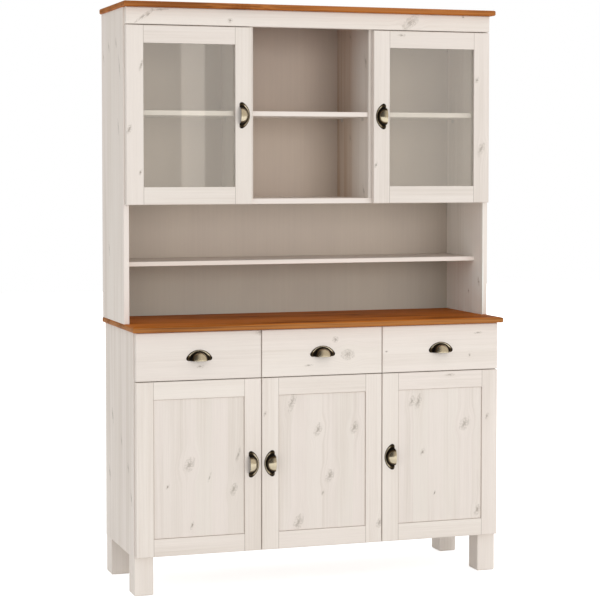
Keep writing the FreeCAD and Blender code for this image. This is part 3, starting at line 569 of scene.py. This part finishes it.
def build_back_paint():
    """Thin smooth boards under a matt glaze, with soft clouds, faint upright brushing and a fine tooth."""
    material, tree, shader = new_material("back_board")
    place = object_place(tree)
    cloud = noise(tree, place, (7.0, 7.0, 4.0), 3.0)
    brush = noise(tree, place, (160.0, 160.0, 2.5))
    tooth = noise(tree, place, 900.0)
    colour = mix(tree, ramp(tree, cloud, 0.3, 0.7), srgb(206, 192, 178), srgb(202, 188, 175))
    # painted shade and painted light on its front
    colour = tinted(tree, colour, back_painted_light_and_shade(tree, place))
    glaze = calc(tree, "ADD", calc(tree, "MULTIPLY", brush, 0.6), calc(tree, "MULTIPLY", tooth, 0.4))
    colour = dimmed(tree, colour, ramp(tree, glaze, 0.35, 0.65, 1.012, 0.985))
    set_shader(tree, shader, Base_Color=colour, Roughness=ramp(tree, cloud, 0.3, 0.7, 0.7, 0.8),
               Specular_IOR_Level=0.1, Normal=bumped(tree, tooth, 0.08, 0.0004))
    return material


def build_glass():
    """A clear pane whose two faces each reflect a share that grows towards grazing views."""
    straight_share = 0.165
    material, tree, shader = new_material("clear_glass")
    tree.nodes.remove(shader)
    clear = add(tree, "BsdfTransparent", srgb(247, 247, 245))
    gloss = add(tree, "BsdfAnisotropic", WHITE)
    set_shader(tree, gloss, Roughness=0.02)
    path = add(tree, "LightPath").outputs
    lit = calc(tree, "SUBTRACT", 1.0, calc(tree, "MAXIMUM", path["Is Shadow Ray"], path["Is Diffuse Ray"]))
    grazing = calc(tree, "POWER", add(tree, "LayerWeight", 0.5).outputs["Facing"], 5.0)
    share = calc(tree, "MULTIPLY_ADD", grazing, 1 - straight_share, straight_share)
    shine = calc(tree, "MULTIPLY", share, lit)
    show(tree, add(tree, "MixShader", shine, clear.outputs[0], gloss.outputs[0]))
    return material


def build_steel():
    """Plated steel with a soft, slightly clouded shine."""
    material, tree, shader = new_material("plated_steel")
    cloud = noise(tree, object_place(tree), 90.0, 3.0)
    set_shader(tree, shader, Base_Color=mix(tree, cloud, srgb(214, 210, 204), srgb(192, 188, 182)),
               Roughness=ramp(tree, cloud, 0.2, 0.8, 0.34, 0.48), Metallic=0.55)
    return material


SHARED = {"back_board": build_back_paint(), "clear_glass": build_glass(), "plated_steel": build_steel()}
for node, slot in slots.items():
    if slot in SHARED:
        dress(node, SHARED[slot])


# ---------------------------------------------------------------- cup pulls, drawn with their foot at z = 0
PULL_WIDTH = 0.088
PULL_HEIGHT = 0.036
EAR_RADIUS = 0.008
EAR_STEPS = 12
EAR_TOP = 0.014         # up to here the rim's wear fades towards the ears' ends
EAR_MARGIN = 0.003      # and this far from the ends it is at its least
DOME_RADIUS = 0.0288
DOME_DEPTH = 0.0238
DOME_WALL = 0.0014
DOME_FULLNESS = 2.5     # the power of the dome's superellipse; 2 is round
DOME_FOOT = 0.0012      # the height of the dome's foot on the flange
DOME_FOOT_WIDTH = 0.0006
DOME_STEPS = 16         # from the foot to the crown
SWEEP_STEPS = 40        # around the half turn
SCREW_REACH = 0.0358    # from the pull's middle to a screw's
SCREW_STEPS = 24
SCREW_TURN = 0.4        # radians
SLOT_HALF_WIDTH = 0.00045
SLOT_DEPTH = 0.0011
SLOT_REACH = 0.0024     # from the screw's middle to the ends of its slots

# the flange from its back, around its edge and its rolled rim, to the dome: the share of the way from the
# edge to the dome's inner face, the height and the wear
FLANGE_SECTION = (
    (1.0, 0.0, 0.0), (0.0, 0.0, 0.0), (0.0, 0.0011, 0.0), (0.05, 0.0018, 0.05), (0.17, 0.0023, 0.15),
    (0.25, 0.0024, 0.8), (0.36, 0.0023, 1.0), (0.46, 0.0019, 0.8), (0.54, 0.0015, 0.2), (0.8, 0.0014, 0.05),
    (1.0, 0.0015, 0.0))
# a screw's head from its rim to its middle: radius, height and wear
SCREW_SECTION = (
    (0.0038, 0.0012, 0.0), (0.0038, 0.0019, 0.0), (0.0032, 0.0026, 0.06), (0.0022, 0.0029, 0.06),
    (0.0012, 0.0030, 0.06), (0.0003, 0.0030, 0.06))


def build_brass():
    """Aged brass: dark where the attribute wear is 0, rubbed bright where it is 1."""
    material, tree, shader = new_material("antique_brass")
    wear = add(tree, "Attribute", attribute_name="wear").outputs["Fac"]
    cloud = calc(tree, "SUBTRACT", noise(tree, object_place(tree), 260.0, 4.0, 0.6), 0.5)
    worn = calc(tree, "ADD", wear, calc(tree, "MULTIPLY", cloud, 0.3), clamp=True)
    colour = mix(tree, ramp(tree, worn, 0.0, 0.45), srgb(24, 18, 12), srgb(96, 80, 56))
    colour = mix(tree, ramp(tree, worn, 0.35, 0.9), colour, srgb(180, 169, 146))
    set_shader(tree, shader, Base_Color=colour, Roughness=ramp(tree, worn, 0.0, 1.0, 0.5, 0.2), Metallic=0.9)
    return material


def clamp(value, low, high):
    return min(high, max(low, value))


def mesh_data(mesh, name):
    """Turn a bmesh into a mesh and free it."""
    data = bpy.data.meshes.new(name)
    mesh.to_mesh(data)
    mesh.free()
    return data


def loft(loops, name, start_closed=True):
    """A tube through like loops, closed at its ends; a loop's items are a point and its wear."""
    mesh = bmesh.new()
    layer = mesh.verts.layers.float.new("wear")
    rows = []
    for loop in loops:
        row = []
        for point, wear in loop:
            vertex = mesh.verts.new(point)
            vertex[layer] = wear
            row.append(vertex)
        rows.append(row)
    count = len(rows[0])
    for first, second in zip(rows, rows[1:]):
        for corner in range(count):
            following = (corner + 1) % count
            mesh.faces.new((first[corner], first[following], second[following], second[corner]))
    if start_closed:
        mesh.faces.new(list(reversed(rows[0])))
    mesh.faces.new(rows[-1])
    bmesh.ops.remove_doubles(mesh, verts=mesh.verts, dist=1e-6)
    bmesh.ops.recalc_face_normals(mesh, faces=mesh.faces)
    return mesh_data(mesh, name)


def pull_outline():
    """The flange's edge from its right foot over the ears and the crown between them, in tangent arcs."""
    reach = PULL_WIDTH / 2 - EAR_RADIUS
    rise = PULL_HEIGHT - EAR_RADIUS
    crown = (reach ** 2 + rise ** 2 - EAR_RADIUS ** 2) / (2 * (rise - EAR_RADIUS))
    middle = PULL_HEIGHT - crown
    meeting = math.atan2(EAR_RADIUS - middle, reach)
    points = []
    for step in range(EAR_STEPS + 1):
        angle = -math.pi / 2 + (meeting + math.pi / 2) * step / EAR_STEPS
        points.append((reach + EAR_RADIUS * math.cos(angle), EAR_RADIUS + EAR_RADIUS * math.sin(angle)))
    for step in range(1, 2 * EAR_STEPS):
        angle = meeting + (math.pi - 2 * meeting) * step / (2 * EAR_STEPS)
        points.append((crown * math.cos(angle), middle + crown * math.sin(angle)))
    for x, z in reversed(points[:EAR_STEPS + 1]):
        points.append((-x, z))
    return points


def pull_flange():
    """The flat flange with its rolled rim: a section that follows the outline."""
    outline = pull_outline()
    loops = []
    for index, (x, z) in enumerate(outline):
        angle = math.pi * index / (len(outline) - 1)
        inner_x = (DOME_RADIUS - DOME_WALL) * math.cos(angle)
        inner_z = (DOME_RADIUS - DOME_WALL) * math.sin(angle)
        worn = 0.9
        if z < EAR_TOP:
            worn = clamp((PULL_WIDTH / 2 - EAR_MARGIN - abs(x)) / EAR_RADIUS, 0.3, 0.9)
        loops.append([((x + (inner_x - x) * share, -height, z + (inner_z - z) * share), wear * worn)
                      for share, height, wear in FLANGE_SECTION])
    return loft(loops, "pull_flange")


def pull_dome():
    """The hollow half dome: its section, outside and inside, swept through half a turn."""
    section = [(DOME_RADIUS + DOME_FOOT_WIDTH, DOME_FOOT, 0.0)]
    for step in range(DOME_STEPS + 1):
        angle = math.pi / 2 * step / DOME_STEPS
        radius = math.cos(angle) ** (2 / DOME_FULLNESS)
        height = math.sin(angle) ** (2 / DOME_FULLNESS)
        section.append((DOME_RADIUS * radius, DOME_DEPTH * height, clamp(2.0 * height - 0.6, 0.0, 1.0)))
    for radius, height, _ in reversed(section[1:]):
        inner_radius = (DOME_RADIUS - DOME_WALL) * radius / DOME_RADIUS
        inner_height = (DOME_DEPTH - DOME_WALL) * height / DOME_DEPTH
        section.append((inner_radius, inner_height, 0.05))
    loops = []
    for step in range(SWEEP_STEPS + 1):
        angle = math.pi * step / SWEEP_STEPS
        loop = []
        for radius, height, wear in section:
            x = radius * math.cos(angle)
            worn = clamp(2.3 - 2.4 * abs(x) / DOME_RADIUS, 0.2, 1.0)
            loop.append(((x, -height, radius * math.sin(angle)), wear * worn))
        loops.append(loop)
    return loft(loops, "pull_dome")


def pull_screw(side):
    """The head of a screw with crossed slots, in the right ear for 1 and the left for -1."""
    loops = []
    for radius, height, wear in SCREW_SECTION:
        loop = []
        for step in range(SCREW_STEPS):
            angle = 2 * math.pi * step / SCREW_STEPS + SCREW_TURN
            x = radius * math.cos(angle)
            z = radius * math.sin(angle)
            in_slot = min(abs(x), abs(z)) < SLOT_HALF_WIDTH and radius < SLOT_REACH
            depth = SLOT_DEPTH if in_slot else 0
            point = (x + side * SCREW_REACH, -(height - depth), z + EAR_RADIUS)
            loop.append((point, 0.0 if in_slot else wear))
        loops.append(loop)
    return loft(loops, "pull_screw", start_closed=False)


def build_pull_mesh():
    """The flange, the dome and two screws as one mesh, centred in x and z, with its back at y = 0."""
    joined = bmesh.new()
    for data in (pull_flange(), pull_dome(), pull_screw(-1), pull_screw(1)):
        joined.from_mesh(data)
        bpy.data.meshes.remove(data)
    for face in joined.faces:
        face.smooth = True
    for edge in joined.edges:
        if len(edge.link_faces) == 2 and edge.calc_face_angle(0) > math.radians(50):
            edge.smooth = False
    bmesh.ops.translate(joined, vec=(0, 0, -PULL_HEIGHT / 2), verts=joined.verts)
    return mesh_data(joined, "cup_pull")


PULL = build_pull_mesh()
PULL.materials.append(build_brass())
# quarter turns about y: a drawer's pull lies level, and a door's stands upright
QUARTER_TURNS = {"drawer_left": 0, "drawer_middle": 0, "drawer_right": 0, "door_left": 1, "door_middle": -1,
                 "door_right": -1, "glass_door_left": 1, "glass_door_right": -1}
for body, turns in QUARTER_TURNS.items():
    low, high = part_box(f"{body}_pull")
    piece = bpy.data.objects.new(f"cup_pull_{body}", PULL)
    scene.collection.objects.link(piece)
    middle = Vector(((low[0] + high[0]) / 2, high[1], (low[2] + high[2]) / 2))
    piece.matrix_world = Matrix.Translation(middle) @ Matrix.Rotation(math.radians(90 * turns), 4, "Y")
    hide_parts(f"{body}_pull")
    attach(piece, body)


# ---------------------------------------------------------------- stage and light
def seen_by_eye(tree, path):
    """1 for rays from the camera, straight, by a reflection or through a pane, and 0 for light's own rays."""
    seen = calc(tree, "ADD", path["Is Camera Ray"], path["Is Glossy Ray"])
    return calc(tree, "ADD", seen, path["Is Transmission Ray"], clamp=True)


def build_floor():
    """A grey floor that a glow turns white, less so near the object, where its shadow shows."""
    mesh = bmesh.new()
    bmesh.ops.create_grid(mesh, x_segments=8, y_segments=8, size=14)
    floor = bpy.data.objects.new("floor", mesh_data(mesh, "floor"))
    scene.collection.objects.link(floor)
    material, tree, shader = new_material("floor")
    set_shader(tree, shader, Base_Color=(0.86, 0.86, 0.86, 1.0), Roughness=0.9, Specular_IOR_Level=0.0)
    seen = seen_by_eye(tree, add(tree, "LightPath").outputs)
    far = ramp(tree, vec(tree, "LENGTH", object_place(tree)), 0.7, 2.2, 0.62, 1.0)
    glow = add(tree, "Emission", WHITE, calc(tree, "MULTIPLY", seen, far))
    show(tree, add(tree, "AddShader", shader.outputs[0], glow.outputs[0]))
    floor.data.materials.append(material)


def build_world():
    """Even light from all around; the eye sees white, and in reflections a studio that is dim at -x."""
    world = bpy.data.worlds.new("studio")
    scene.world = world
    world.use_nodes = True
    tree = world.node_tree
    path = add(tree, "LightPath").outputs
    way = split(tree, add(tree, "TexCoord").outputs["Generated"])["X"]
    studio = mix(tree, ramp(tree, way, 0.4, -0.5), WHITE, (0.05, 0.045, 0.04, 1))
    studio = tinted(tree, studio, (1.0, 0.92, 0.83, 1))
    backdrop = mix(tree, path["Is Glossy Ray"], WHITE, studio)
    light = mix(tree, seen_by_eye(tree, path), (0.88, 0.88, 0.88, 1), backdrop)
    put(tree, light, tree.nodes["Background"].inputs["Color"])


def lamp(name, place, target, size, power, in_gloss, colour=(1, 1, 1)):
    """An area lamp aimed at a target; reflections show it only where in_gloss is true."""
    data = bpy.data.lights.new(name, "AREA")
    data.color = colour
    data.shape = "RECTANGLE"
    data.size, data.size_y = size
    data.energy = power
    thing = bpy.data.objects.new(name, data)
    scene.collection.objects.link(thing)
    thing.visible_glossy = in_gloss
    thing.location = place
    aim = Vector(target) - Vector(place)
    thing.rotation_euler = aim.to_track_quat("-Z", "Y").to_euler()


build_floor()
build_world()
lamp("key", place=(2.2, -11.0, 2.4), target=(0, 0, 1.0), size=(6.0, 4.0), power=250, in_gloss=False)
# a tall narrow strip for the left pane to mirror
lamp("strip", place=(1.44, -7.0, 1.68), target=(1.44, 0, 1.68), size=(0.175, 1.6), power=0.36, in_gloss=True,
     colour=(1.0, 0.92, 0.84))

# ---------------------------------------------------------------- camera, fitted to the photo
PHOTO_SIDE = 600                    # pixels
FOCAL_LENGTH = 1846.36              # in those pixels, as are the next two
PRINCIPAL_X = 300.9
PRINCIPAL_Y = 252
SENSOR = 36
CAMERA_PLACE = (-2.0204, -6.0454, 1.4175)
CAMERA_PITCH = -0.0476              # radians up from level
CAMERA_TURN = -0.3215               # radians to the left of +y

camera = bpy.data.objects.new("camera", bpy.data.cameras.new("camera"))
scene.collection.objects.link(camera)
camera.data.sensor_width = SENSOR
camera.data.lens = FOCAL_LENGTH / PHOTO_SIDE * SENSOR
camera.data.shift_x = (PHOTO_SIDE / 2 - PRINCIPAL_X) / PHOTO_SIDE
camera.data.shift_y = (PRINCIPAL_Y - PHOTO_SIDE / 2) / PHOTO_SIDE
camera.location = CAMERA_PLACE
camera.rotation_euler = (math.pi / 2 + CAMERA_PITCH, 0, CAMERA_TURN)
scene.camera = camera
